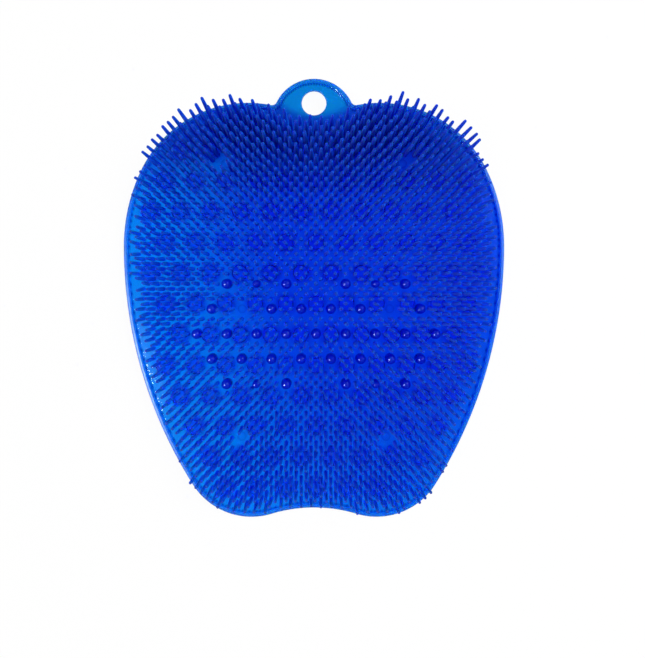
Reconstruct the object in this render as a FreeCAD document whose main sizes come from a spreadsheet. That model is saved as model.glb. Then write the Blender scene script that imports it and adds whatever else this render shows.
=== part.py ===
"""Shower foot scrubber mat: one moulded piece with bristles, pegs, suction cups and a hanging tab.

Millimetres. +Z is up and the cups' lips stand on Z = 0. +Y points from the heel end to the toe end,
where the hanging tab is. The origin is under the middle of the mat.
"""
import FreeCAD, Part
import math
import os
import Sketcher

NODE = "scrubber_mat"

# Driving dimensions. Levels along Y are measured from the mat's widest line, towards the toe.
SIZES = {
    # Outline: tangent arcs from the heel notch round the right-hand side to the tab
    "half_width": 115.0,
    "side_radius": 106.5,
    "side_sweep": 25.5,
    "shoulder_radius": 71.8,
    "heel_radius": 42.0,
    "heel_offset": 37.8,
    "heel_reach": 163.6,
    "notch_depth": 5.6,
    "neck_radius": 3.0,
    "tab_radius": 25.2,
    "tab_drop": 10.7,
    # Hanging hole
    "hole_radius": 7.5,
    "hole_rise": 11.0,
    # Sheet and its raised rim
    "sheet_thickness": 2.0,
    "rim_width": 2.6,
    "rim_rise": 1.2,
    "rim_bevel": 0.7,
    # Suction cups
    "cup_height": 6.0,
    "cup_neck_radius": 4.4,
    "cup_lip_radius": 6.8,
    "cup_hollow": 3.2,
    "cup_pitch": 18.6,
    "cup_row_step": 18.9,
    "cup_first_row": 2.9,
    "cup_margin": 2.5,
    # Bristles: their places
    "bristle_pitch": 5.95,
    "bristle_row_step": 3.0,
    "side_bristle_margin": 5.8,
    "toe_bristle_margin": 4.2,
    "heel_bristle_margin": 3.6,
    "heel_border_level": -117.0,
    # Bristles: their shape, longer and leaning outwards at the toe end
    "bristle_tip_radius": 0.75,
    "bristle_draft": 0.0444,
    "bristle_length": 12.4,
    "toe_bristle_length": 22.4,
    "toe_ramp_start": 15.0,
    "toe_ramp_end": 62.0,
    "toe_splay": 4.0,
    "toe_splay_depth": 14.0,
    "toe_splay_offset": 20.0,
    # Bare ground round the hanging hole
    "bare_half_width": 36.0,
    "bristle_bare_reach": 17.0,
    "cup_bare_reach": 22.0,
    # Massage pegs
    "peg_radius": 3.0,
    "small_peg_radius": 2.3,
    "peg_length": 6.4,
    "peg_crown": 2.4,
    "peg_clearance": 1.3,
    "peg_first_row": -22.8,
    # Round marks of the mould's ejector pins
    "mark_radius": 2.7,
    "mark_rise": 0.5,
    "mark_clearance": 2.1,
    "upper_mark_offset": 53.6,
    "upper_mark_level": 49.9,
    "lower_mark_offset": 43.6,
    "lower_mark_level": -115.0,
    # Bristles, pegs and cups stand this far right of the outline's axis
    "field_offset": 1.2,
}

# The moulding's bristles stand on a fine staggered lattice. Every second one in each direction is solid
# here, which keeps the model's look within its limit on facets.
BRISTLE_THINNING = 2
BRISTLE_SIDES = 3

# Facets round each cup, peg and mark
CUP_SIDES = 6
PEG_SIDES = 8
MARK_SIDES = 6

# Pegs stand every three bristles along a row, in rows five bristle rows apart. A row's pattern names
# what stands at each place, from the left: a full peg, a small peg, a flat mark or a gap.
PEG_STEP = 3
PEG_ROW_STEP = 5
PEG_ROWS = ["PsP-PsP", "PmPPPPmP", "PPPPPPPPP", "PPPPPPPP", "PsP-PsP"]

document = FreeCAD.newDocument("FootScrubber")


def fill_spreadsheet():
    """Write each driving dimension into the spreadsheet under its own alias."""
    sheet = document.addObject("Spreadsheet::Sheet", "Sizes")
    for row, (alias, value) in enumerate(SIZES.items(), start=1):
        sheet.set(f"A{row}", alias)
        sheet.set(f"B{row}", str(value))
        sheet.setAlias(f"B{row}", alias)
    document.recompute()
    return sheet


sizes = fill_spreadsheet()

# Levels up from the surface that the mat stands on
UNDERSIDE = sizes.cup_height
FLOOR = UNDERSIDE + sizes.sheet_thickness
RIM_TOP = FLOOR + sizes.rim_rise


def polar(centre, radius, angle):
    """Return the point at an angle, in degrees, on a circle in the XY plane."""
    turn = math.radians(angle)
    return centre + FreeCAD.Vector(radius * math.cos(turn), radius * math.sin(turn), 0)


def point_towards(centre, radius, target):
    """Return the point of a circle that lies towards another point."""
    return centre + (target - centre).normalize() * radius


class Outline:
    """Half of the mat's outline as seven tangent arcs, at an inset from its edge."""

    def __init__(self, inset):
        self.inset = inset
        self.side = sizes.side_radius
        self.shoulder = sizes.shoulder_radius
        self.heel = sizes.heel_radius
        self.tab = sizes.tab_radius
        self.neck = sizes.neck_radius
        self.find_toe_centres()
        self.find_heel_centres()

    def find_toe_centres(self):
        """Work out the centres of the side, shoulder, neck and tab arcs, so that neighbours are tangent."""
        self.side_centre = FreeCAD.Vector(sizes.half_width - self.side, 0, 0)
        self.shoulder_centre = polar(self.side_centre, self.side - self.shoulder, sizes.side_sweep)
        tab_level = self.shoulder_centre.y + self.shoulder - sizes.tab_drop
        self.tab_centre = FreeCAD.Vector(0, tab_level, 0)
        self.hole_level = tab_level + sizes.hole_rise
        # The neck arc touches the shoulder and the tab from outside
        gap = self.shoulder_centre - self.tab_centre
        distance = gap.Length
        to_tab = self.tab + self.neck
        to_shoulder = self.shoulder + self.neck
        along = (to_tab**2 - to_shoulder**2 + distance**2) / (2 * distance)
        aside = math.sqrt(to_tab**2 - along**2)
        direction = gap.normalize()
        outward = FreeCAD.Vector(-direction.y, direction.x, 0)
        self.neck_centre = self.tab_centre + direction * along + outward * aside

    def find_heel_centres(self):
        """Work out the centres of the heel, flank and notch arcs, so that neighbours are tangent."""
        self.heel_centre = FreeCAD.Vector(sizes.heel_offset, self.heel - sizes.heel_reach, 0)
        # The flank arc leaves the widest point upright and runs into the heel arc
        across = sizes.half_width - sizes.heel_offset
        along = self.heel_centre.y
        self.flank = (across**2 + along**2 - self.heel**2) / (2 * (across - self.heel))
        self.flank_centre = FreeCAD.Vector(sizes.half_width - self.flank, 0, 0)
        # The notch arc's centre is on the axis and its top is the notch's depth above the heel
        rise = self.heel - sizes.notch_depth
        self.notch = (sizes.heel_offset**2 + rise**2 - self.heel**2) / (2 * sizes.notch_depth)
        notch_level = sizes.notch_depth - sizes.heel_reach
        self.notch_centre = FreeCAD.Vector(0, notch_level - self.notch, 0)

    def arcs(self):
        """Return each arc's centre, radius and end points, from the heel notch to the tab's top."""
        bulge = -self.inset
        hollow = self.inset
        notch_top = self.notch_centre + FreeCAD.Vector(0, self.notch + hollow, 0)
        heel_start = point_towards(self.heel_centre, self.heel + bulge, self.notch_centre)
        away_from_flank = self.heel_centre * 2 - self.flank_centre
        heel_end = point_towards(self.heel_centre, self.heel + bulge, away_from_flank)
        widest = FreeCAD.Vector(sizes.half_width + bulge, 0, 0)
        side_end = polar(self.side_centre, self.side + bulge, sizes.side_sweep)
        shoulder_end = point_towards(self.shoulder_centre, self.shoulder + bulge, self.neck_centre)
        tab_start = point_towards(self.tab_centre, self.tab + bulge, self.neck_centre)
        tab_top = self.tab_centre + FreeCAD.Vector(0, self.tab + bulge, 0)
        return [
            (self.notch_centre, self.notch + hollow, notch_top, heel_start),
            (self.heel_centre, self.heel + bulge, heel_start, heel_end),
            (self.flank_centre, self.flank + bulge, heel_end, widest),
            (self.side_centre, self.side + bulge, widest, side_end),
            (self.shoulder_centre, self.shoulder + bulge, side_end, shoulder_end),
            (self.neck_centre, self.neck + hollow, shoulder_end, tab_start),
            (self.tab_centre, self.tab + bulge, tab_start, tab_top),
        ]

    def middle(self):
        """Return the level halfway between the heel's lowest point and the tab's top."""
        return (self.tab_centre.y + self.tab - sizes.heel_reach) / 2

    def face(self):
        """Return the whole outline as a face, for asking whether a place lies inside it."""
        edges = []
        for centre, radius, first, last in self.arcs():
            middle = point_towards(centre, radius, (first + last) * 0.5)
            edges.append(Part.Arc(first, middle, last).toShape())
        half = Part.Wire(edges)
        other = half.mirror(FreeCAD.Vector(0, 0, 0), FreeCAD.Vector(1, 0, 0))
        return Part.Face(Part.Wire(Part.sortEdges(half.Edges + other.Edges)[0]))


EDGE = Outline(0.0)
HOLE_LEVEL = EDGE.hole_level

# Places of the arcs in the outline sketches
NOTCH, HEEL, FLANK, SIDE, SHOULDER, NECK, TAB = range(7)
# What a constraint names on an arc or a line
START, END, CENTRE = 1, 2, 3
# Sketch axes
ACROSS, ALONG = -1, -2


def draw_outline(body, name, inset_name, level):
    """Draw half of the outline in a sketch whose sizes follow the spreadsheet.

    inset_name is the size by which the outline lies inside the mat's edge, or None.
    """
    inset = getattr(sizes, inset_name) if inset_name else 0.0
    inward = f" - Sizes.{inset_name}" if inset_name else ""
    outward = f" + Sizes.{inset_name}" if inset_name else ""
    sketch = body.newObject("Sketcher::SketchObject", name)
    attach(sketch, body, level)
    ends = []
    for index, (centre, radius, first, last) in enumerate(Outline(inset).arcs()):
        # A sketch's arcs run anticlockwise, so the hollow ones run from their last point
        hollow = index in (NOTCH, NECK)
        low, high = (last, first) if hollow else (first, last)
        low_angle = math.atan2(low.y - centre.y, low.x - centre.x)
        high_angle = math.atan2(high.y - centre.y, high.x - centre.x)
        circle = Part.Circle(centre, FreeCAD.Vector(0, 0, 1), radius)
        sketch.addGeometry(Part.ArcOfCircle(circle, low_angle, high_angle), False)
        ends.append((END, START) if hollow else (START, END))
    arcs = Outline(inset).arcs()
    axis_line = len(arcs)
    sketch.addGeometry(Part.LineSegment(arcs[-1][3], arcs[0][2]), False)
    for index in range(len(arcs) - 1):
        join = Sketcher.Constraint("Tangent", index, ends[index][1], index + 1, ends[index + 1][0])
        sketch.addConstraint(join)
    sketch.addConstraint(Sketcher.Constraint("Coincident", TAB, ends[TAB][1], axis_line, START))
    sketch.addConstraint(Sketcher.Constraint("Coincident", NOTCH, ends[NOTCH][0], axis_line, END))
    for arc, where, axis in [
        (NOTCH, ends[NOTCH][0], ALONG),
        (NOTCH, CENTRE, ALONG),
        (TAB, ends[TAB][1], ALONG),
        (TAB, CENTRE, ALONG),
        (SIDE, ends[SIDE][0], ACROSS),
        (SIDE, CENTRE, ACROSS),
    ]:
        sketch.addConstraint(Sketcher.Constraint("PointOnObject", arc, where, axis))
    radii = {
        HEEL: "Sizes.heel_radius" + inward,
        SIDE: "Sizes.side_radius" + inward,
        SHOULDER: "Sizes.shoulder_radius" + inward,
        NECK: "Sizes.neck_radius" + outward,
        TAB: "Sizes.tab_radius" + inward,
    }
    for arc, expression in radii.items():
        add_size(sketch, Sketcher.Constraint("Radius", arc, arcs[arc][1]), expression)
    side_sweep = Sketcher.Constraint("Angle", SIDE, math.radians(sizes.side_sweep))
    add_size(sketch, side_sweep, "Sizes.side_sweep * 1 deg")
    half_width = Sketcher.Constraint("DistanceX", SIDE, ends[SIDE][0], arcs[SIDE][2].x)
    add_size(sketch, half_width, "Sizes.half_width" + inward)
    heel_offset = Sketcher.Constraint("DistanceX", HEEL, CENTRE, sizes.heel_offset)
    add_size(sketch, heel_offset, "Sizes.heel_offset")
    heel_level = Sketcher.Constraint("DistanceY", HEEL, CENTRE, arcs[HEEL][0].y)
    add_size(sketch, heel_level, "Sizes.heel_radius - Sizes.heel_reach")
    notch_level = Sketcher.Constraint("DistanceY", NOTCH, ends[NOTCH][0], arcs[NOTCH][2].y)
    add_size(sketch, notch_level, "Sizes.notch_depth - Sizes.heel_reach" + outward)
    tab_rise = arcs[TAB][0].y - arcs[SHOULDER][0].y
    tab_level = Sketcher.Constraint("DistanceY", SHOULDER, CENTRE, TAB, CENTRE, tab_rise)
    add_size(sketch, tab_level, "Sizes.shoulder_radius - Sizes.tab_drop")
    return sketch


def add_size(sketch, constraint, expression):
    """Add a constraint with a value that follows an expression."""
    index = sketch.addConstraint(constraint)
    sketch.setExpression(f"Constraints[{index}]", expression)


def origin_plane(body, role):
    """Return one of a body's origin planes."""
    return next(item for item in body.Origin.OriginFeatures if item.Role == role)


def attach(sketch, body, level):
    """Lay a sketch flat on a body's XY plane, raised to a level given as an expression."""
    sketch.AttachmentSupport = [(origin_plane(body, "XY_Plane"), "")]
    sketch.MapMode = "FlatFace"
    sketch.setExpression("AttachmentOffset.Base.z", level)


def volume_after(feature):
    """Recompute the document and return a feature's volume."""
    document.recompute()
    return feature.Shape.Volume


def make_sheet():
    """Model the sheet with its raised rim, hanging tab and hole."""
    body = document.addObject("PartDesign::Body", "Sheet")
    underside = "Sizes.cup_height"
    rim_top = "Sizes.cup_height + Sizes.sheet_thickness + Sizes.rim_rise"

    plate = body.newObject("PartDesign::Pad", "HalfPlate")
    plate.Profile = draw_outline(body, "EdgeOutline", None, underside)
    plate.setExpression("Length", "Sizes.sheet_thickness + Sizes.rim_rise")
    volume = volume_after(plate)

    recess = body.newObject("PartDesign::Pocket", "HalfRecess")
    recess.Profile = draw_outline(body, "RimOutline", "rim_width", rim_top)
    recess.setExpression("Length", "Sizes.rim_rise")
    if volume_after(recess) >= volume:
        raise ValueError("The recess inside the rim cuts nothing")

    whole = body.newObject("PartDesign::Mirrored", "WholePlate")
    whole.Originals = [plate, recess]
    whole.MirrorPlane = (origin_plane(body, "YZ_Plane"), [""])
    body.Tip = whole
    volume = volume_after(whole)

    circle = body.newObject("Sketcher::SketchObject", "HoleCircle")
    attach(circle, body, rim_top)
    centre = FreeCAD.Vector(0, HOLE_LEVEL, 0)
    circle.addGeometry(Part.Circle(centre, FreeCAD.Vector(0, 0, 1), sizes.hole_radius), False)
    circle.addConstraint(Sketcher.Constraint("PointOnObject", 0, CENTRE, ALONG))
    crown = "(Sizes.side_radius - Sizes.shoulder_radius) * sin(Sizes.side_sweep) + Sizes.shoulder_radius"
    hole_level = Sketcher.Constraint("DistanceY", 0, CENTRE, HOLE_LEVEL)
    add_size(circle, hole_level, crown + " - Sizes.tab_drop + Sizes.hole_rise")
    add_size(circle, Sketcher.Constraint("Radius", 0, sizes.hole_radius), "Sizes.hole_radius")
    hole = body.newObject("PartDesign::Pocket", "HangingHole")
    hole.Profile = circle
    hole.Type = "ThroughAll"
    if volume_after(hole) >= volume:
        raise ValueError("The hanging hole cuts nothing")

    bevel = body.newObject("PartDesign::Chamfer", "RimBevel")
    rim = next(face for face in hole.Shape.Faces if is_flat_at(face, RIM_TOP))
    outer_edges = rim.OuterWire.Edges
    names = []
    for index, edge in enumerate(hole.Shape.Edges, start=1):
        if any(edge.isSame(other) for other in outer_edges):
            names.append(f"Edge{index}")
    bevel.Base = (hole, names)
    bevel.setExpression("Size", "min(Sizes.rim_bevel, 0.45 * Sizes.rim_width, 0.9 * Sizes.rim_rise)")
    document.recompute()
    return body


def ring_of_points(place, radius, level, sides):
    """Return the corners of a regular polygon, anticlockwise seen from above."""
    centre = FreeCAD.Vector(place[0], place[1], level)
    # Half a step turns a flat towards the axes
    return [polar(centre, radius, 360.0 * (corner + 0.5) / sides) for corner in range(sides)]


def grow_stud(place, sides, rings, tip):
    """Return the root wire and the faces of a stud whose section follows a list of rings.

    Each ring is a radius and a level, from the root outwards. The stud closes in the point tip, or in a
    flat end if tip is None. Neighbouring faces share their edges.
    """
    faces = []
    lower = ring_of_points(place, rings[0][0], rings[0][1], sides)
    lower_edges = closed_edges(lower)
    root = Part.Wire(lower_edges)
    for radius, level in rings[1:]:
        upper = ring_of_points(place, radius, level, sides)
        upper_edges = closed_edges(upper)
        posts = [Part.makeLine(low, high) for low, high in zip(lower, upper)]
        for corner in range(sides):
            following = (corner + 1) % sides
            sides_of_face = [lower_edges[corner], posts[following], upper_edges[corner], posts[corner]]
            faces.append(Part.Face(Part.Wire(sides_of_face)))
        lower = upper
        lower_edges = upper_edges
    if tip is None:
        faces.append(Part.Face(Part.Wire(lower_edges)))
        return root, faces
    ribs = [Part.makeLine(low, tip) for low in lower]
    for corner in range(sides):
        following = (corner + 1) % sides
        faces.append(Part.Face(Part.Wire([lower_edges[corner], ribs[following], ribs[corner]])))
    return root, faces


def closed_edges(points):
    """Return the edges of a closed polygon."""
    return [Part.makeLine(first, last) for first, last in zip(points, points[1:] + points[:1])]


def inside(region, place):
    """Tell whether a place on the mat lies inside a flat region."""
    return region.isInside(FreeCAD.Vector(place[0], place[1], 0), 0.001, True)


def lattice(across_step, along_step, first_level, region):
    """Return the places of a staggered lattice inside a region. Alternate rows are half a step aside."""
    box = region.BoundBox
    places = []
    lowest = math.ceil((box.YMin - first_level) / along_step)
    highest = math.floor((box.YMax - first_level) / along_step)
    reach = math.ceil(box.XMax / across_step) + 1
    for row in range(lowest, highest + 1):
        aside = 0.5 * (row % 2)
        for column in range(-reach, reach + 1):
            across = (column + aside) * across_step + sizes.field_offset
            place = (across, first_level + row * along_step)
            if inside(region, place):
                places.append(place)
    return places


def peg_places():
    """Return the massage field's places as (kind, place), where kind is a letter of PEG_ROWS."""
    across_step = PEG_STEP * sizes.bristle_pitch
    along_step = PEG_ROW_STEP * sizes.bristle_row_step
    places = []
    for row, pattern in enumerate(PEG_ROWS):
        level = sizes.peg_first_row - row * along_step
        for column, kind in enumerate(pattern):
            if kind != "-":
                across = (column - (len(pattern) - 1) / 2) * across_step + sizes.field_offset
                places.append((kind, (across, level)))
    return places


def mark_places():
    """Return the places of the round marks outside the massage field."""
    places = []
    for side in (-1, 1):
        places.append((side * sizes.upper_mark_offset, sizes.upper_mark_level))
        places.append((side * sizes.lower_mark_offset, sizes.lower_mark_level))
    return places


def clamped(share):
    """Return a share held between 0 and 1."""
    return min(max(share, 0.0), 1.0)


def toe_share(level):
    """Return how far a level along the mat lies up the toe's even ramp, from 0 to 1."""
    return clamped((level - sizes.toe_ramp_start) / (sizes.toe_ramp_end - sizes.toe_ramp_start))


def bristle_regions():
    """Return (lowest level, region) from the toe to the heel, with the bare border that each stretch has."""
    toe_level = (sizes.toe_ramp_start + sizes.toe_ramp_end) / 2
    return [
        (toe_level, Outline(sizes.rim_width + sizes.toe_bristle_margin).face()),
        (sizes.heel_border_level, Outline(sizes.rim_width + sizes.side_bristle_margin).face()),
        (-sizes.heel_reach, Outline(sizes.rim_width + sizes.heel_bristle_margin).face()),
    ]


def make_bristle(place, edge):
    """Return the stud of one bristle. Near the toe's edge, but not beside the tab, its tip leans outwards."""
    share = toe_share(place[1])
    length = sizes.bristle_length + share * (sizes.toe_bristle_length - sizes.bristle_length)
    tip = FreeCAD.Vector(place[0], place[1], FLOOR + length)
    aside = clamped((abs(place[0]) - sizes.tab_radius) / sizes.toe_splay_offset)
    if share * aside > 0:
        depth, pairs, info = edge.distToShape(Part.Vertex(place[0], place[1], 0))
        on_edge, at_root = pairs[0]
        inner = (depth - sizes.rim_width - sizes.toe_bristle_margin) / sizes.toe_splay_depth
        lean = sizes.toe_splay * share * aside * clamped(1 - inner)
        tip += (on_edge - at_root).normalize() * lean
    root_radius = sizes.bristle_tip_radius + sizes.bristle_draft * length
    return grow_stud(place, BRISTLE_SIDES, [(root_radius, FLOOR)], tip)


def clear_of(place, keep_outs):
    """Tell whether a place lies outside every keep-out, each a place and a radius."""
    return all(math.dist(place, other) > radius for other, radius in keep_outs)


def make_top_studs():
    """Return the studs of the top face: the massage pegs, the marks and the bristles."""
    studs = []
    keep_outs = []
    marks = mark_places()
    peg_radii = {"P": sizes.peg_radius, "s": sizes.small_peg_radius}
    for kind, place in peg_places():
        if kind == "m":
            marks.append(place)
            continue
        radius = peg_radii[kind]
        shoulder = FLOOR + sizes.peg_length - sizes.peg_crown
        rings = [(radius, FLOOR), (radius, shoulder), (radius / 2, FLOOR + sizes.peg_length)]
        studs.append(grow_stud(place, PEG_SIDES, rings, None))
        keep_outs.append((place, radius + sizes.peg_clearance))
    for place in marks:
        rings = [(sizes.mark_radius, FLOOR), (sizes.mark_radius, FLOOR + sizes.mark_rise)]
        studs.append(grow_stud(place, MARK_SIDES, rings, None))
        keep_outs.append((place, sizes.mark_radius + sizes.mark_clearance))
    mat_face = EDGE.face()
    regions = bristle_regions()
    across_step = BRISTLE_THINNING * sizes.bristle_pitch
    along_step = BRISTLE_THINNING * sizes.bristle_row_step
    for place in lattice(across_step, along_step, sizes.peg_first_row, mat_face):
        region = next(region for lowest, region in regions if place[1] > lowest)
        if not inside(region, place) or is_bare(place, sizes.bristle_bare_reach):
            continue
        if clear_of(place, keep_outs):
            studs.append(make_bristle(place, mat_face.OuterWire))
    return studs


def is_bare(place, reach):
    """Tell whether a place lies on the bare ground round the hanging hole: an ellipse of a given reach."""
    across = place[0] / sizes.bare_half_width
    along = (place[1] - HOLE_LEVEL) / reach
    return across**2 + along**2 < 1


def make_cups():
    """Return the studs of the underside: the suction cups, each from its neck to the hollow's middle."""
    studs = []
    region = Outline(sizes.cup_lip_radius + sizes.cup_margin).face()
    for place in lattice(sizes.cup_pitch, sizes.cup_row_step, sizes.cup_first_row, region):
        if is_bare(place, sizes.cup_bare_reach):
            continue
        rings = [(sizes.cup_neck_radius, UNDERSIDE), (sizes.cup_lip_radius, 0.0)]
        hollow_top = FreeCAD.Vector(place[0], place[1], sizes.cup_hollow)
        studs.append(grow_stud(place, CUP_SIDES, rings, hollow_top))
    return studs


def is_flat_at(face, level):
    """Tell whether a face is level and lies at a given height."""
    box = face.BoundBox
    return abs(box.ZMin - level) < 0.001 and abs(box.ZMax - level) < 0.001


def open_for_studs(face, studs):
    """Return a flat face with a hole for the root of each stud."""
    normal = face.normalAt(0, 0)
    opened = face.copy()
    # A hole runs clockwise seen against the face's normal, and the roots run anticlockwise from above
    roots = [root.reversed() if normal.z > 0 else root for root, faces in studs]
    opened.cutHoles(roots)
    root_area = sum(Part.Face(root).Area for root, faces in studs)
    if abs(face.Area - opened.Area - root_area) > 0.001 * root_area:
        raise ValueError("The studs' roots don't open their own area")
    return opened


def make_mat(sheet_body):
    """Grow the studs from the sheet's flat faces and close everything into one solid."""
    top_studs = make_top_studs()
    cups = make_cups()
    faces = []
    for face in sheet_body.Shape.Faces:
        if is_flat_at(face, FLOOR):
            faces.append(open_for_studs(face, top_studs))
        elif is_flat_at(face, UNDERSIDE):
            faces.append(open_for_studs(face, cups))
        else:
            faces.append(face)
    for root, stud_faces in top_studs + cups:
        faces.extend(stud_faces)
    shell = Part.Shell(faces)
    solid = Part.Solid(shell)
    mat = document.addObject("Part::Feature", "Mat")
    mat.Label = NODE
    mat.Shape = solid
    mat.Placement = FreeCAD.Placement(FreeCAD.Vector(0, -EDGE.middle(), 0), FreeCAD.Rotation())
    print("studs on top", len(top_studs), "cups", len(cups))
    return mat


def check_document(mat):
    """Stop if any object failed or the mat isn't one sound solid."""
    document.recompute()
    for item in document.Objects:
        if "Invalid" in item.State or "Error" in item.State:
            raise ValueError(f"{item.Label} failed")
    shape = mat.Shape
    if shape.isNull() or not shape.isValid() or len(shape.Solids) != 1 or shape.Volume <= 0:
        raise ValueError(f"{mat.Label} isn't one sound solid")


mat = make_mat(make_sheet())
check_document(mat)
os.makedirs("parts", exist_ok=True)
mat.Shape.exportStep(f"parts/{mat.Label}.step")
print("volume", round(mat.Shape.Volume), "box", mat.Shape.BoundBox)
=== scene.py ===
"""Looks of a shower foot scrubber mat moulded in clear blue plastic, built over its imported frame.

Sizes are in millimetres and become metres when a piece is made. +Z is up, the cups' lips stand on Z = 0,
and +Y points from the heel end to the toe end, where the hanging tab is.
"""
import logging
import math
from dataclasses import dataclass, field
from enum import Enum

import bpy
import numpy as np
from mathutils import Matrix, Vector
from mathutils.geometry import delaunay_2d_cdt


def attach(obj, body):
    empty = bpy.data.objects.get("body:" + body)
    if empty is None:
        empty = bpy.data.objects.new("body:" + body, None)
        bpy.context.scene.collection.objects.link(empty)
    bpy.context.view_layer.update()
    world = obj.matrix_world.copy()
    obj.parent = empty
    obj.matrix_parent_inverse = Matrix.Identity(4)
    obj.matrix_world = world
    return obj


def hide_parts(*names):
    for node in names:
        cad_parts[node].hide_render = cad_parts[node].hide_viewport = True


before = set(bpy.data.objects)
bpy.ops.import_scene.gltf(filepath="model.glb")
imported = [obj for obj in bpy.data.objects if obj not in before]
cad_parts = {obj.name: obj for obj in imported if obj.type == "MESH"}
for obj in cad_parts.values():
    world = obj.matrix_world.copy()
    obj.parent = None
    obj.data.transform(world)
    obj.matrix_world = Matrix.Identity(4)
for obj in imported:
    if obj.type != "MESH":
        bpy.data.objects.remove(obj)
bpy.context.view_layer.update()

NODE = "scrubber_mat"
BODY = "root"
METRES = 0.001
NO_CREASE = -1
ONLY_INSIDE = 1
SAME_PLACE = 1e-7
Pair = tuple[float, float]
Colour = tuple[float, float, float]
WHITE: Colour = (1.0, 1.0, 1.0)
log = logging.getLogger("scrubber_mat")


class Stand(Enum):
    """What stands at a place of the massage field."""

    PEG = "P"
    SMALL_PEG = "s"
    MARK = "m"
    GAP = "-"


class Way(Enum):
    """Which way a stud grows from its deck."""

    UP = 1
    DOWN = -1


def ring_angles(sides: int) -> np.ndarray:
    """Return the turn of each corner of a ring, evenly spaced and anticlockwise, half a step off the axis.

    Args:
        sides: Number of corners.

    Returns:
        One angle in radians for each corner.
    """
    return 2 * np.pi * (np.arange(sides) + 0.5) / sides


def close_band(lower: np.ndarray, upper: np.ndarray) -> np.ndarray:
    """Return the triangles between two closed rings: corner i to i + 1 below, and the same pair above.

    Args:
        lower: Point numbers of the lower rings, anticlockwise from above, corners along the last axis.
        upper: Point numbers of the upper rings, in the same layout.

    Returns:
        Triangles as rows of three point numbers that face away from the rings' middle.
    """
    after_lower = np.roll(lower, -1, axis=-1)
    after_upper = np.roll(upper, -1, axis=-1)
    first = np.stack([lower, after_lower, after_upper], axis=-1).reshape(-1, 3)
    second = np.stack([lower, after_upper, upper], axis=-1).reshape(-1, 3)
    return np.concatenate([first, second])


@dataclass
class Moulding:
    """Gathers the points and triangles of one closed piece."""

    points: list[np.ndarray] = field(default_factory=list)
    depths: list[np.ndarray] = field(default_factory=list)
    hazes: list[np.ndarray] = field(default_factory=list)
    creases: list[np.ndarray] = field(default_factory=list)
    triangles: list[np.ndarray] = field(default_factory=list)
    count: int = 0
    crease_count: int = 0

    def add_points(self, points: np.ndarray, depth: np.ndarray | float = 0.0,
                   haze: np.ndarray | float = 0.0) -> np.ndarray:
        """Add points and return their numbers.

        Args:
            points: Array whose last axis is x, y, z.
            depth: How deep the dye looks there, from 0 to 1, in a shape that spreads over the points; on the
                toe's bristles and in the rim's groove it is partly painted shade.
            haze: How hazy the surface is there, from 0 to 1, in the same way; the clearer bristles along the
                sides carry painted light in it.

        Returns:
            Point numbers in the array's leading shape.
        """
        flat = points.reshape(-1, 3)
        numbers = np.arange(self.count, self.count + len(flat)).reshape(points.shape[:-1])
        self.points.append(flat)
        self.depths.append(np.broadcast_to(depth, numbers.shape).ravel())
        self.hazes.append(np.broadcast_to(haze, numbers.shape).ravel())
        self.creases.append(np.full(len(flat), NO_CREASE))
        self.count += len(flat)
        return numbers

    def add_triangles(self, triangles: np.ndarray) -> None:
        """Add triangles given as rows of point numbers."""
        self.triangles.append(triangles.reshape(-1, 3))

    def crease(self, rings: np.ndarray) -> None:
        """Mark closed rings of points as sharp edges.

        Args:
            rings: Point numbers, one ring to a row, all added in one call of add_points.
        """
        rings = np.atleast_2d(rings)
        labels = self.crease_count + np.arange(len(rings))
        self.crease_count += len(rings)
        start = 0
        for block in self.creases:
            inside = (rings >= start) & (rings < start + len(block))
            block[rings[inside] - start] = np.broadcast_to(labels[:, None], rings.shape)[inside]
            start += len(block)

    def make_piece(self, name: str) -> bpy.types.Object:
        """Make the piece's object, smooth but for its creases, in metres at the origin.

        Args:
            name: Name of the object and its mesh.

        Returns:
            The new object.
        """
        points = np.concatenate(self.points) * METRES
        creases = np.concatenate(self.creases)
        triangles = np.concatenate(self.triangles)
        mesh = bpy.data.meshes.new(name)
        mesh.vertices.add(len(points))
        mesh.vertices.foreach_set("co", points.astype(np.float32).ravel())
        mesh.loops.add(triangles.size)
        mesh.loops.foreach_set("vertex_index", triangles.astype(np.int32).ravel())
        mesh.polygons.add(len(triangles))
        mesh.polygons.foreach_set("loop_start", np.arange(0, triangles.size, 3, dtype=np.int32))
        mesh.update(calc_edges=True)
        mesh.polygons.foreach_set("use_smooth", np.ones(len(triangles), dtype=bool))
        ends = np.empty(len(mesh.edges) * 2, dtype=np.int32)
        mesh.edges.foreach_get("vertices", ends)
        first, second = creases[ends.reshape(-1, 2)].T
        sharp = mesh.attributes.new("sharp_edge", "BOOLEAN", "EDGE")
        sharp.data.foreach_set("value", (first == second) & (first != NO_CREASE))
        for label, values in (("dye_and_shade_depth", self.depths), ("haze", self.hazes)):
            attribute = mesh.attributes.new(label, "FLOAT", "POINT")
            attribute.data.foreach_set("value", np.concatenate(values).astype(np.float32))
        mesh.validate()
        piece = bpy.data.objects.new(name, mesh)
        bpy.context.scene.collection.objects.link(piece)
        log.info("%s: %d points, %d triangles", name, len(points), len(triangles))
        return piece


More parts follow.
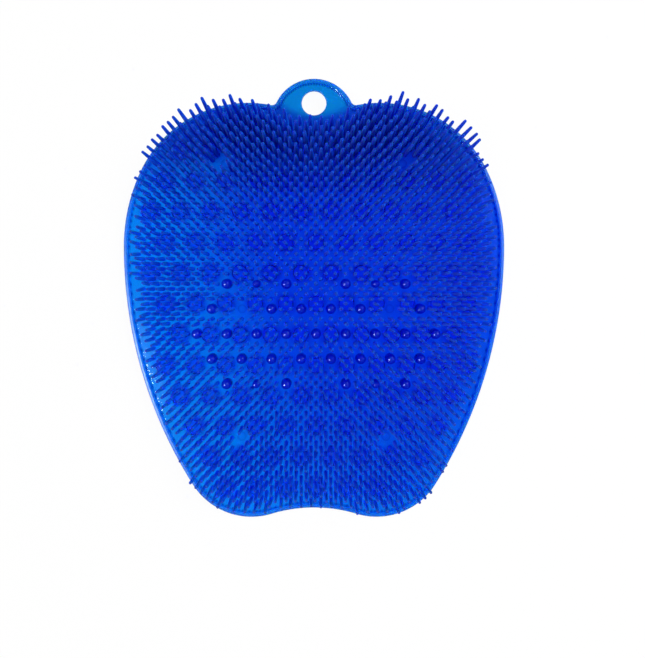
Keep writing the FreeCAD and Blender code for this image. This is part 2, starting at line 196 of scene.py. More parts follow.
@dataclass
class MatOutline:
    """The mat's outline: seven tangent arcs on each side, from the heel notch to the tab's top."""

    half_width: float = 115.0
    side_radius: float = 106.5
    side_sweep: float = 25.5
    shoulder_radius: float = 71.8
    heel_radius: float = 42.0
    heel_offset: float = 37.8
    heel_reach: float = 163.6
    notch_depth: float = 5.6
    neck_radius: float = 3.0
    tab_radius: float = 25.2
    tab_drop: float = 10.7
    hole_rise: float = 11.0
    arc_steps: tuple[int, ...] = (16, 48, 52, 24, 40, 10, 30)

    def __post_init__(self) -> None:
        """Place the arcs' centres, then sample the outline."""
        toe = self._toe_centres()
        heel = self._heel_centres()
        self._sample(heel + toe)

    def _toe_centres(self) -> list[tuple]:
        """Return the arcs from side to tab, each as (centre, radius, is hollow, first turn, last turn)."""
        sweep = math.radians(self.side_sweep)
        side = np.array([self.half_width - self.side_radius, 0.0])
        along = np.array([math.cos(sweep), math.sin(sweep)])
        shoulder = side + (self.side_radius - self.shoulder_radius) * along
        tab = np.array([0.0, shoulder[1] + self.shoulder_radius - self.tab_drop])
        self.tab_level = float(tab[1])
        gap = shoulder - tab
        distance = float(np.hypot(*gap))
        to_tab = self.tab_radius + self.neck_radius
        to_shoulder = self.shoulder_radius + self.neck_radius
        reach = (to_tab**2 - to_shoulder**2 + distance**2) / (2 * distance)
        aside = math.sqrt(to_tab**2 - reach**2)
        direction = gap / distance
        neck = tab + direction * reach + np.array([-direction[1], direction[0]]) * aside
        shoulder_turn = math.atan2(*(neck - shoulder)[::-1])
        tab_turn = math.atan2(*(neck - tab)[::-1])
        return [
            (side, self.side_radius, False, 0.0, sweep),
            (shoulder, self.shoulder_radius, False, sweep, shoulder_turn),
            (neck, self.neck_radius, True, shoulder_turn - math.pi, tab_turn - math.pi),
            (tab, self.tab_radius, False, tab_turn, math.pi / 2),
        ]

    def _heel_centres(self) -> list[tuple]:
        """Return the notch, heel and flank arcs in the layout of _toe_centres."""
        heel = np.array([self.heel_offset, self.heel_radius - self.heel_reach])
        across = self.half_width - self.heel_offset
        flank_radius = (across**2 + heel[1] ** 2 - self.heel_radius**2) / (2 * (across - self.heel_radius))
        flank = np.array([self.half_width - flank_radius, 0.0])
        rise = self.heel_radius - self.notch_depth
        notch_radius = (self.heel_offset**2 + rise**2 - self.heel_radius**2) / (2 * self.notch_depth)
        notch = np.array([0.0, self.notch_depth - self.heel_reach - notch_radius])
        heel_turn = math.atan2(*(notch - heel)[::-1])
        flank_turn = math.atan2(*(heel - flank)[::-1])
        notch_turn = math.atan2(*(heel - notch)[::-1])
        return [
            (notch, notch_radius, True, math.pi / 2, notch_turn),
            (heel, self.heel_radius, False, heel_turn, flank_turn),
            (flank, flank_radius, False, flank_turn, 0.0),
        ]

    def _sample(self, arcs: list[tuple]) -> None:
        """Sample the arcs: centre + radius * (cos, sin), with the normal turned outwards on hollow arcs."""
        points, normals = [], []
        for (centre, radius, hollow, first, last), steps in zip(arcs, self.arc_steps):
            turns = np.linspace(first, last, steps, endpoint=False)
            outward = np.stack([np.cos(turns), np.sin(turns)], axis=-1)
            points.append(centre + radius * outward)
            normals.append(-outward if hollow else outward)
        points.append(np.array([[0.0, self.tab_level + self.tab_radius]]))
        normals.append(np.array([[0.0, 1.0]]))
        right = np.concatenate(points)
        right_normals = np.concatenate(normals)
        mirror = np.array([-1.0, 1.0])
        self.points = np.concatenate([right, (right * mirror)[-2:0:-1]])
        self.normals = np.concatenate([right_normals, (right_normals * mirror)[-2:0:-1]])

    @property
    def middle(self) -> float:
        """Level halfway between the heel's lowest point and the tab's top."""
        return (self.tab_level + self.tab_radius - self.heel_reach) / 2

    @property
    def hole_level(self) -> float:
        """Level of the hanging hole's middle."""
        return self.tab_level + self.hole_rise

    def round_hole(self, places: np.ndarray, reach: Pair) -> np.ndarray:
        """Tell which places lie on the bare ground round the hanging hole: (x / a)**2 + (y / b)**2 below 1.

        Args:
            places: Rows of x, y.
            reach: The half axes a, across, and b, along, from the hole's middle.

        Returns:
            True for each place on the bare ground.
        """
        away = (places - np.array([0.0, self.hole_level])) / np.array(reach)
        return (away**2).sum(axis=-1) < 1

    def ring(self, inset: np.ndarray, level: np.ndarray) -> np.ndarray:
        """Return the outline moved inwards along its normals: edge point - inset * outward normal.

        Args:
            inset: Distance inside the edge, one for each ring.
            level: Height of each ring.

        Returns:
            Points in an array of ring, corner and x, y, z.
        """
        inset, level = np.atleast_1d(inset).astype(float), np.atleast_1d(level).astype(float)
        flat = self.points[None] - inset[:, None, None] * self.normals[None]
        height = np.broadcast_to(level[:, None, None], flat.shape[:2] + (1,))
        return np.concatenate([flat, height], axis=-1)

    def depth(self, places: np.ndarray) -> tuple[np.ndarray, np.ndarray]:
        """Return how deep places lie inside the edge, and the edge's outward normal nearest to each.

        The depth is the nearest edge point less the place, measured along that point's normal.

        Args:
            places: Rows of x, y.

        Returns:
            The depth of each place, negative outside, and its nearest normal.
        """
        gaps = self.points[None] - places[:, None]
        nearest = np.argmin((gaps**2).sum(axis=-1), axis=1)
        gap = gaps[np.arange(len(places)), nearest]
        normal = self.normals[nearest]
        distance = np.hypot(gap[:, 0], gap[:, 1])
        return np.where((gap * normal).sum(axis=-1) > 0, distance, -distance), normal


@dataclass
class Studs:
    """Studs of one kind: places on a deck and the profile that each of them turns."""

    places: np.ndarray
    deck: float
    way: Way
    sides: int
    radii: np.ndarray
    heights: np.ndarray
    lean: np.ndarray
    creased: tuple[int, ...] = (0,)
    depth: np.ndarray | float = 0.0
    haze: np.ndarray | float = 0.0
    bend: float = 1.4

    def grow(self, moulding: Moulding) -> np.ndarray:
        """Add the studs. Ring j of stud k is place + lean * share**bend + radius * (cos, sin) at its height.

        The share is the ring's height over the stud's, so a stud leaves its deck upright and bends. The root
        ring belongs to the deck as well, so it has the deck's finish.

        Args:
            moulding: Piece that gets the studs.

        Returns:
            Point numbers of the root rings, one row to a stud.
        """
        turns = ring_angles(self.sides)
        circle = np.stack([np.cos(turns), np.sin(turns)], axis=-1)
        span = np.abs(self.heights).max(axis=1, keepdims=True)
        share = (np.abs(self.heights) / span) ** self.bend
        middle = self.places[:, None] + self.lean[:, None] * share[..., None]
        flat = middle[:, :, None] + self.radii[:, :, None, None] * circle[None, None]
        level = np.broadcast_to((self.deck + self.heights)[:, :, None, None], flat.shape[:3] + (1,))
        above = (np.arange(self.heights.shape[1]) > 0)[:, None]
        depth = np.broadcast_to(self.depth, self.heights.shape)[..., None] * above
        haze = np.broadcast_to(self.haze, (len(self.places), self.heights.shape[1]))[..., None] * above
        rings = moulding.add_points(np.concatenate([flat, level], axis=-1)[:, :-1], depth[:, :-1],
                                    haze[:, :-1])
        tips = moulding.add_points(np.concatenate([middle[:, -1], level[:, -1, 0]], axis=-1), depth[:, -1, 0],
                                   haze[:, -1, 0])
        inner, outer = rings[:, :-1], rings[:, 1:]
        last = rings[:, -1]
        cap = np.stack([last, np.roll(last, -1, axis=1), np.broadcast_to(tips[:, None], last.shape)], axis=-1)
        walls = close_band(inner, outer)
        if self.way is Way.DOWN:
            walls, cap = walls[:, ::-1], cap[..., ::-1]
        moulding.add_triangles(walls)
        moulding.add_triangles(cap)
        moulding.crease(rings[:, self.creased].reshape(-1, self.sides))
        return rings[:, 0]


def repeated(values: list[float], count: int) -> np.ndarray:
    """Return a list of values as equal rows, one to a stud."""
    return np.broadcast_to(np.array(values, dtype=float), (count, len(values)))


def staggered(across: float, along: float, first: Pair, reach: float = 180.0) -> np.ndarray:
    """Return a staggered lattice: first + (column * across, row * along), with odd rows half a step aside.

    Args:
        across: Step along a row.
        along: Step from row to row.
        first: The place of column 0 in row 0.
        reach: How far the lattice runs from there.

    Returns:
        Rows of x, y.
    """
    rows = np.arange(-math.ceil(reach / along), math.ceil(reach / along) + 1)
    columns = np.arange(-math.ceil(reach / across), math.ceil(reach / across) + 1)
    row, column = np.meshgrid(rows, columns, indexing="ij")
    x = (column + 0.5 * (row % 2)) * across
    return np.array(first) + np.stack([x, row * along], axis=-1).reshape(-1, 2)


@dataclass
class MassageField:
    """The massage pegs and the mould's flat round marks on the top deck."""

    outline: MatOutline
    deck: float
    offset: float = 1.2
    pitch: float = 5.95
    row_step: float = 3.0
    first_row: float = -22.8
    rows: tuple[str, ...] = ("PsP-PsP", "PmPPPPmP", "PPPPPPPPP", "PPPPPPPP", "PsP-PsP")
    bristles_apart: int = 3
    rows_apart: int = 5
    peg_sides: int = 14
    mark_sides: int = 16
    peg_radius: float = 3.0
    small_peg_radius: float = 2.3
    peg_length: float = 6.4
    mark_radius: float = 2.7
    peg_clearance: float = 1.3
    mark_clearance: float = 2.1
    crown_share: float = 0.8
    peg_haze: float = 0.12
    outer_marks: tuple[Pair, ...] = ((53.6, 49.9), (43.6, -115.0))

    def places(self, stand: Stand) -> np.ndarray:
        """Return the places where one kind stands: every third bristle, in rows five bristle rows apart.

        Args:
            stand: The kind asked for.

        Returns:
            Rows of x, y.
        """
        found = [
            (self.offset + (column - (len(pattern) - 1) / 2) * self.bristles_apart * self.pitch,
             self.first_row - row * self.rows_apart * self.row_step)
            for row, pattern in enumerate(self.rows)
            for column, letter in enumerate(pattern)
            if Stand(letter) is stand
        ]
        if stand is Stand.MARK:
            found += [(side * x, y) for x, y in self.outer_marks for side in (-1, 1)]
        return np.array(found)

    def pegs(self, stand: Stand, radius: float) -> Studs:
        """Return the pegs of one kind: a straight post with a footing fillet and a domed crown.

        Args:
            stand: PEG or SMALL_PEG.
            radius: Radius of the post.

        Returns:
            The studs.
        """
        places = self.places(stand)
        length = self.peg_length
        turns = np.radians([0, 25, 45, 62, 77])
        crown = self.crown_share * radius
        radii = [radius + 0.35, radius + 0.05, *(radius * np.cos(turns)), 0]
        heights = [0, 0.4, *(length - crown + crown * np.sin(turns)), length]
        count = len(places)
        depth = np.array([0.0, 1.0, 1.0, 1.0, 0.9, 0.8, 0.75, 0.75])
        return Studs(places, self.deck, Way.UP, self.peg_sides, repeated(radii, count),
                     repeated(heights, count), np.zeros((count, 2)), (0, 1), depth, self.peg_haze)

    def marks(self) -> Studs:
        """Return the flat round marks: a low ring round a dished middle."""
        places = self.places(Stand.MARK)
        radius = self.mark_radius
        radii = [radius + 0.1, radius, radius - 0.25, radius - 0.45, radius * 0.4, 0]
        heights = [0, 0.4, 0.55, 0.3, 0.3, 0.3]
        count = len(places)
        return Studs(places, self.deck, Way.UP, self.mark_sides, repeated(radii, count),
                     repeated(heights, count), np.zeros((count, 2)), (0, 2, 3),
                     np.array([0, 0.5, 0.5, 0.3, 0, 0]))

    def keep_outs(self) -> tuple[np.ndarray, np.ndarray]:
        """Return the places that bristles keep clear of, and how far from each."""
        kinds = [(Stand.PEG, self.peg_radius + self.peg_clearance),
                 (Stand.SMALL_PEG, self.small_peg_radius + self.peg_clearance),
                 (Stand.MARK, self.mark_radius + self.mark_clearance)]
        places = [self.places(stand) for stand, _ in kinds]
        clears = [np.full(len(group), clear) for group, (_, clear) in zip(places, kinds)]
        return np.concatenate(places), np.concatenate(clears)


@dataclass
class BristleField:
    """The soft bristles on the top deck, on a fine staggered lattice that the pegs share."""

    outline: MatOutline
    deck: float
    massage: MassageField
    sides: int = 6
    tip_radius: float = 0.9
    draft: float = 0.0323
    length: float = 12.4
    length_scatter: float = 0.5
    toe_length: float = 22.4
    ramp_start: float = 15.0
    ramp_end: float = 62.0
    side_margin: float = 8.4
    toe_margin: float = 6.8
    heel_margin: float = 6.2
    heel_level: float = -117.0
    heel_fade: float = 20.0
    bare_reach: Pair = (32.0, 15.5)
    splay: float = 4.0
    splay_depth: float = 14.0
    splay_start: float = 36.0
    splay_fade: float = 14.0
    tab_splay: float = 0.5
    tab_splay_end: float = 32.0
    tab_splay_fade: float = 20.0
    heel_splay: float = 2.0
    unevenness: float = 0.35
    seed: int = 11
    dye_depths: tuple[float, ...] = (0, 0.1, 0.5, 0.85, 0.9)
    toe_painted_shade_depths: tuple[float, ...] = (0, 0.2, 0.1, 0, 0)
    side_painted_light: float = 0.45
    side_painted_light_reach: float = 9.0

    def places(self) -> np.ndarray:
        """Return the lattice places that lie inside the rim and clear of the tab, the hole and the pegs."""
        massage = self.massage
        places = staggered(massage.pitch, massage.row_step, (massage.offset, massage.first_row))
        depth, _ = self.outline.depth(places)
        margin = self.side_margin + self.ramp(places) * (self.toe_margin - self.side_margin)
        margin = margin + self.heel_ramp(places) * (self.heel_margin - self.side_margin)
        places = places[depth > margin]
        others, clears = massage.keep_outs()
        gaps = np.hypot(*(places[:, None] - others[None]).transpose(2, 0, 1))
        return places[(gaps > clears).all(axis=1) & ~self.outline.round_hole(places, self.bare_reach)]

    def ramp(self, places: np.ndarray) -> np.ndarray:
        """Return how far up the toe's ramp places lie: (level - start) / (end - start), held in 0 to 1."""
        return np.clip((places[:, 1] - self.ramp_start) / (self.ramp_end - self.ramp_start), 0, 1)

    def heel_ramp(self, places: np.ndarray) -> np.ndarray:
        """Return how far into the heel places lie: 0.5 + (heel_level - level) / fade, held in 0 to 1."""
        return np.clip(0.5 + (self.heel_level - places[:, 1]) / self.heel_fade, 0, 1)

    def studs(self) -> Studs:
        """Return the bristles: slender tapers with a root fillet and a blunt tip.

        A bristle's length grows from length to toe_length along an even ramp of its level, and its radius
        is the tip's plus draft times the way down from it. Near the edge, the toe's bristles lean out along
        the edge's normal, but those by the tab lean straight towards it, and the heel's corners splay a
        little. Each leans a little at random as well. The dye looks deeper towards the tips, and on the
        toe the walls near the root are darker still, a painted shade. The bristles along the sides are made
        clearer, and so lighter, than those in the field: a painted light from the side.

        Returns:
            The studs.
        """
        places = self.places()
        ramp = self.ramp(places)
        off_axis = np.abs(places[:, 0])
        aside = np.clip((off_axis - self.splay_start) / self.splay_fade, 0, 1)
        by_tab = np.clip((self.tab_splay_end - off_axis) / self.tab_splay_fade, 0, 1)
        chance = np.random.default_rng(self.seed)
        depth, normal = self.outline.depth(places)
        near = np.clip(1 - (depth - self.toe_margin) / self.splay_depth, 0, 1)
        at_corner = self.heel_ramp(places) * np.abs(normal[:, 0])
        lean = normal * (near * (self.splay * ramp * aside + self.heel_splay * at_corner))[:, None]
        lean[:, 1] += near * ramp * by_tab * self.splay * self.tab_splay
        lean = lean + chance.normal(0, self.unevenness, lean.shape)
        length = self.length + ramp * (self.toe_length - self.length)
        length = length - chance.uniform(0, self.length_scatter, len(places))
        tip = np.full(len(places), self.tip_radius)
        root = tip + self.draft * length
        radii = np.stack([root + 0.15, root, tip, tip * 0.6, 0 * tip], axis=1)
        heights = np.stack([0 * length, 0 * length + 0.3, length - 0.5, length - 0.1, length], axis=1)
        # On the toe the walls near the root get a deeper dye: painted shade among the long, dense bristles.
        tinted = np.array(self.dye_depths) + ramp[:, None] * np.array(self.toe_painted_shade_depths)
        # Bristles along the sides are made less hazy, so clearer and lighter: painted light from the side.
        side_lit = np.clip(1 - (depth - self.side_margin) / self.side_painted_light_reach, 0, 1) * (1 - ramp)
        hazy = 1 - self.side_painted_light * side_lit[:, None]
        return Studs(places, self.deck, Way.UP, self.sides, radii, heights, lean, (0, 1, 2), tinted, hazy)


@dataclass
class SuctionCups:
    """The suction cups under the mat: a short neck that flares to a thin lip round a hollow."""

    outline: MatOutline
    deck: float
    sides: int = 12
    neck_radius: float = 4.4
    lip_radius: float = 6.8
    pitch: float = 18.6
    row_step: float = 18.9
    first: Pair = (1.2, 2.9)
    margin: float = 2.5
    bare_reach: Pair = (36.0, 22.0)
    hazes: tuple[float, ...] = (0, 0.6, 0.6, 0.2, 0, 0, 0, 0, 0, 0)

    def places(self) -> np.ndarray:
        """Return the cups' places: a staggered lattice inside the edge, clear of the hole and the tab."""
        places = staggered(self.pitch, self.row_step, self.first)
        depth, _ = self.outline.depth(places)
        places = places[depth > self.lip_radius + self.margin]
        return places[~self.outline.round_hole(places, self.bare_reach)]

    def studs(self) -> Studs:
        """Return the cups, each turned from its hazy neck over the lip to the middle of its clear hollow."""
        places = self.places()
        neck, lip, deep = self.neck_radius, self.lip_radius, self.deck
        flare = neck + 0.6 * (lip - neck)
        radii = [neck + 0.4, neck, neck + 0.2, flare, lip, lip - 0.1, lip - 0.7, lip * 0.62, lip * 0.3, 0]
        heights = [0, 0.4, 1.8, 3.8, deep - 0.4, deep, deep - 0.3, deep - 2.1, deep - 3.1, deep - 3.2]
        count = len(places)
        return Studs(places, self.deck, Way.DOWN, self.sides, repeated(radii, count),
                     -repeated(heights, count), np.zeros((count, 2)), haze=np.array(self.hazes))


@dataclass
class Sheet:
    """The mat's sheet with its raised rim, hanging tab and hole."""

    outline: MatOutline
    underside: float = 6.0
    thickness: float = 2.0
    rim_width: float = 3.1
    rim_rise: float = 1.2
    bead_shade_cut: float = 0.8
    hole_radius: float = 7.5
    hole_sides: int = 56

    @property
    def deck(self) -> float:
        """Level of the top deck."""
        return self.underside + self.thickness

    def rim(self, moulding: Moulding) -> tuple[np.ndarray, np.ndarray]:
        """Add the rim: its section, as pairs of inset and level, carried round the outline.

        In the groove inside it stand small beads: every other corner of a ring is its lift higher there. The
        groove is darker, a painted shade, and the beads keep less of it, by the share bead_shade_cut.

        Args:
            moulding: Piece that gets the rim.

        Returns:
            Point numbers of the underside's and the top deck's outer rings.
        """
        low, deck, top = self.underside, self.deck, self.deck + self.rim_rise
        wide = self.rim_width
        section = np.array([
            (1.0, low), (0.4, low + 0.06), (0.1, low + 0.25), (0.0, low + 0.6), (0.0, top - 0.8),
            (0.08, top - 0.4), (0.28, top - 0.14), (0.6, top), (wide - 0.7, top), (wide - 0.45, top - 0.12),
            (wide - 0.3, top - 0.4), (wide - 0.05, deck - 0.3), (wide + 0.25, deck - 0.5),
            (wide + 0.6, deck - 0.3), (wide + 0.9, deck),
        ])
        # Darker on the outer wall, and darkest in the groove, where the darkness is painted shade.
        depth = np.array([0, 0, 0.2, 0.6, 0.7, 0.7, 0.5, 0.2, 0, 0.3, 0.9, 1, 0.9, 0.3, 0])
        haze = np.array([0, 0, 0.3, 0.6, 0.7, 0.7, 0.6, 0.4, 0.1, 0, 0, 0, 0, 0, 0])
        lift = np.array([0, 0, 0, 0, 0, 0, 0, 0, 0, 0.05, 0.2, 0.5, 0.6, 0.4, 0])
        points = self.outline.ring(section[:, 0], section[:, 1])
        bead = np.arange(points.shape[1]) % 2
        points[..., 2] += lift[:, None] * bead
        rings = moulding.add_points(points, depth[:, None] * (1 - self.bead_shade_cut * bead), haze[:, None])
        moulding.add_triangles(close_band(rings[:-1], rings[1:]))
        moulding.crease(rings[[0, -1]])
        return rings[0], rings[-1]

    def bore(self, moulding: Moulding) -> tuple[np.ndarray, np.ndarray]:
        """Add the hanging hole's wall: rings of radius * (cos, sin), eased at both ends.

        Args:
            moulding: Piece that gets the wall.

        Returns:
            Point numbers of the wall's lower and upper rings.
        """
        radius, low, top = self.hole_radius, self.underside, self.deck
        section = np.array([(0.45, top), (0.14, top - 0.06), (0.0, top - 0.35), (0.0, low + 0.35),
                            (0.14, low + 0.06), (0.45, low)])
        turns = ring_angles(self.hole_sides)
        circle = np.stack([np.cos(turns), np.sin(turns)], axis=-1)
        flat = (radius + section[:, 0, None, None]) * circle[None] + np.array([0.0, self.outline.hole_level])
        level = np.broadcast_to(section[:, 1, None, None], flat.shape[:2] + (1,))
        rings = moulding.add_points(np.concatenate([flat, level], axis=-1))
        moulding.add_triangles(close_band(rings[:-1], rings[1:]))
        moulding.crease(rings[[0, -1]])
        return rings[-1], rings[0]

    def lay_deck(self, moulding: Moulding, border: np.ndarray, holes: list[np.ndarray], way: Way) -> None:
        """Fill a flat deck between its border and the rings in it, by a constrained triangulation.

        Args:
            moulding: Piece that gets the deck.
            border: Point numbers of the outer ring.
            holes: Groups of rings that the deck leaves open, one ring to a row.
            way: Which way the deck faces.
        """
        everything = np.concatenate(moulding.points)
        rings = [border[None]] + [np.atleast_2d(group) for group in holes]
        numbers = np.concatenate([group.ravel() for group in rings])
        labels, edges, start, label = [], [], 0, 0
        for group in rings:
            place = np.arange(start, start + group.size).reshape(group.shape)
            edges.append(np.stack([place, np.roll(place, -1, axis=1)], axis=-1).reshape(-1, 2))
            labels.append(np.repeat(label + np.arange(len(group)), group.shape[1]))
            start += group.size
            label += len(group)
        flat = list(map(Vector, everything[numbers, :2].tolist()))
        links = np.concatenate(edges).tolist()
        _, _, faces, sources, _, _ = delaunay_2d_cdt(flat, links, [], ONLY_INSIDE, SAME_PLACE, True)
        corners = np.array([group[0] for group in sources])[np.array(faces)]
        ring = np.concatenate(labels)[corners]
        same_ring = (ring[:, 0] == ring[:, 1]) & (ring[:, 1] == ring[:, 2])
        inset = self.outline.depth(everything[border[:1], :2])[0]
        outside = self.outline.depth(everything[numbers, :2][corners].mean(axis=1))[0] < inset
        corners = corners[~same_ring | ((ring[:, 0] == 0) & ~outside)]
        place = everything[numbers, :2][corners]
        first, second = place[:, 1] - place[:, 0], place[:, 2] - place[:, 0]
        facing = np.sign(first[:, 0] * second[:, 1] - first[:, 1] * second[:, 0])
        turned = np.where((facing == way.value)[:, None], corners, corners[:, ::-1])
        moulding.add_triangles(numbers[turned])


@dataclass
class Wiring:
    """Makes and joins the nodes of one node tree."""

    tree: bpy.types.NodeTree

    def node(self, kind: str) -> bpy.types.Node:
        """Return a new node of a kind."""
        return self.tree.nodes.new(kind)

    def feed(self, socket: bpy.types.NodeSocket, source: bpy.types.NodeSocket | float | Colour) -> None:
        """Join a socket to the source's, or set it where the source is a number or a colour.

        Args:
            socket: The input that is fed.
            source: The output that feeds it, or its value.
        """
        if isinstance(source, bpy.types.NodeSocket):
            self.tree.links.new(source, socket)
        elif isinstance(source, tuple):
            socket.default_value = (*source, 1.0)
        else:
            socket.default_value = source

    def place(self) -> bpy.types.NodeSocket:
        """Return the place on the object itself."""
        return self.node("ShaderNodeTexCoord").outputs["Object"]

    def part_of(self, place: bpy.types.NodeSocket, axis: str) -> bpy.types.NodeSocket:
        """Return a place's part along the axis X, Y or Z."""
        split = self.node("ShaderNodeSeparateXYZ")
        self.feed(split.inputs["Vector"], place)
        return split.outputs[axis]

    def attribute(self, name: str) -> bpy.types.NodeSocket:
        """Return one of the piece's own attributes."""
        attribute = self.node("ShaderNodeAttribute")
        attribute.attribute_name = name
        return attribute.outputs["Fac"]

    def noise(self, place: bpy.types.NodeSocket, scale: float, detail: float) -> bpy.types.NodeSocket:
        """Return a cloudy noise over a place."""
        noise = self.node("ShaderNodeTexNoise")
        for name, source in (("Vector", place), ("Scale", scale), ("Detail", detail)):
            self.feed(noise.inputs[name], source)
        return noise.outputs["Fac"]

    def nearness(self, place: bpy.types.NodeSocket, middle: Pair, reach: Pair) -> bpy.types.NodeSocket:
        """Return 1 - the distance from a middle over its reach, as an ellipse, and 0 beyond that.

        Args:
            place: The place asked for.
            middle: x, y of the ellipse's middle.
            reach: Its half axes along x and y.

        Returns:
            The socket.
        """
        around = self.node("ShaderNodeMapping")
        around.vector_type = "TEXTURE"
        around.inputs["Location"].default_value = (*middle, 0.0)
        around.inputs["Scale"].default_value = (*reach, 1.0)
        self.feed(around.inputs["Vector"], place)
        gradient = self.node("ShaderNodeTexGradient")
        gradient.gradient_type = "SPHERICAL"
        self.feed(gradient.inputs["Vector"], around.outputs["Vector"])
        return gradient.outputs["Fac"]

    def computed(self, operation: str, *sources: bpy.types.NodeSocket | float) -> bpy.types.NodeSocket:
        """Return the outcome of one operation on up to three sources."""
        node = self.node("ShaderNodeMath")
        node.operation = operation
        for socket, source in zip(node.inputs, sources):
            self.feed(socket, source)
        return node.outputs[0]

    def ranged(self, value: bpy.types.NodeSocket, source: Pair = (0.0, 1.0), target: Pair = (0.0, 1.0),
               smooth: bool = False) -> bpy.types.NodeSocket:
        """Return a value carried from one range to another and held at its ends.

        Args:
            value: The value.
            source: What it is at the two ends.
            target: What it becomes there.
            smooth: Whether it goes over by a smooth step, not evenly.

        Returns:
            The socket.
        """
        node = self.node("ShaderNodeMapRange")
        node.interpolation_type = "SMOOTHSTEP" if smooth else "LINEAR"
        for name, end in zip(("From Min", "From Max", "To Min", "To Max"), (*source, *target)):
            node.inputs[name].default_value = end
        self.feed(node.inputs["Value"], value)
        return node.outputs["Result"]

    def blended(self, first: bpy.types.NodeSocket | Colour, second: bpy.types.NodeSocket | Colour,
                share: bpy.types.NodeSocket) -> bpy.types.NodeSocket:
        """Return the first colour, blended into the second by a share from 0 to 1."""
        node = self.node("ShaderNodeMix")
        node.data_type = "RGBA"
        for name, source in (("A", first), ("B", second), ("Factor", share)):
            self.feed(node.inputs[name], source)
        return node.outputs["Result"]

    def mixed_shaders(self, first: bpy.types.NodeSocket, second: bpy.types.NodeSocket,
                      share: bpy.types.NodeSocket) -> bpy.types.NodeSocket:
        """Return the first shader, mixed into the second by a share from 0 to 1."""
        node = self.node("ShaderNodeMixShader")
        for socket, source in zip(node.inputs, (share, first, second)):
            self.feed(socket, source)
        return node.outputs["Shader"]

    def rays(self, *names: str) -> bpy.types.NodeSocket:
        """Return 1 for light rays of any of the kinds named, and 0 for all others."""
        path = self.node("ShaderNodeLightPath")
        total = path.outputs[names[0]]
        for name in names[1:]:
            total = self.computed("MAXIMUM", total, path.outputs[name])
        return total


@dataclass(frozen=True)
class ClearBluePlastic:
    """Soft clear vinyl, dyed through: it takes up red and green light along the way through it.

    Levels and distances are in metres.
    """

    dye: Colour = (0.0, 0.9, 0.9995)
    dye_strength: float = 3200.0
    shallow: Colour = (0.02, 0.56, 0.97)
    hazy: Colour = (0.0, 0.14, 0.95)
    deep: Colour = (0.0, 0.015, 0.36)
    spread: Colour = (0.1, 0.4, 1.0)
    spread_reach: float = 0.007
    sheen_tint: Colour = (0.5, 0.6, 1.0)
    refraction: float = 1.46
    roughness: float = 0.06
    roughness_spread: Pair = (0.6, 1.8)
    cloud_scale: float = 90.0
    cloud_detail: float = 3.0
    clearness: float = 0.975
    bristle_clearness: float = 0.2
    haze_roughness: float = 0.9
    underside_levels: Pair = (0.0070, 0.0064)
    underside_roughness: float = 0.8
    peel_scale: float = 420.0
    peel_detail: float = 2.0
    peel_strength: float = 0.12
    peel_height: float = 0.0004

    def material(self) -> bpy.types.Material:
        """Return the plastic: clear gloss with a faint orange peel, over a constant dye in its depth.

        Haze makes it rougher, less clear and bluer, and dye depth darkens it, which also carries painted
        shade. Below the underside's levels it is as rough as a mould that was not polished.

        Returns:
            The material.
        """
        material = bpy.data.materials.new("clear_blue_vinyl")
        material.use_nodes = True
        wiring = Wiring(material.node_tree)
        place, haze = wiring.place(), wiring.attribute("haze")
        cloud = wiring.noise(place, self.cloud_scale, self.cloud_detail)
        least, most = self.roughness_spread
        gloss = wiring.ranged(cloud, target=(self.roughness * least, self.roughness * most))
        under = wiring.ranged(wiring.part_of(place, "Z"), self.underside_levels,
                              (0.0, self.underside_roughness))
        softer = wiring.computed("MULTIPLY_ADD", haze, self.haze_roughness, gloss)
        milky = wiring.blended(self.shallow, self.hazy, haze)
        bump = wiring.node("ShaderNodeBump")
        bump.inputs["Strength"].default_value = self.peel_strength
        bump.inputs["Distance"].default_value = self.peel_height
        wiring.feed(bump.inputs["Height"], wiring.noise(place, self.peel_scale, self.peel_detail))
        shader = material.node_tree.nodes["Principled BSDF"]
        shader.inputs["Subsurface Radius"].default_value = self.spread
        shader.inputs["Roughness"].default_value = self.roughness
        for name, source in (
            ("IOR", self.refraction),
            ("Specular Tint", self.sheen_tint),
            ("Subsurface Weight", 1.0),
            ("Subsurface Scale", self.spread_reach),
            ("Roughness", wiring.computed("ADD", softer, under)),
            ("Transmission Weight", wiring.ranged(haze, target=(self.clearness, self.bristle_clearness))),
            # Dye depth darkens the colour; on the toe's bristles and in the rim's groove that darkening is
            # painted shade.
            ("Base Color", wiring.blended(milky, self.deep, wiring.attribute("dye_and_shade_depth"))),
            ("Normal", bump.outputs["Normal"]),
        ):
            wiring.feed(shader.inputs[name], source)
        depth = wiring.node("ShaderNodeVolumeAbsorption")
        depth.inputs["Color"].default_value = (*self.dye, 1.0)
        depth.inputs["Density"].default_value = self.dye_strength
        wiring.feed(material.node_tree.nodes["Material Output"].inputs["Volume"], depth.outputs["Volume"])
        return material


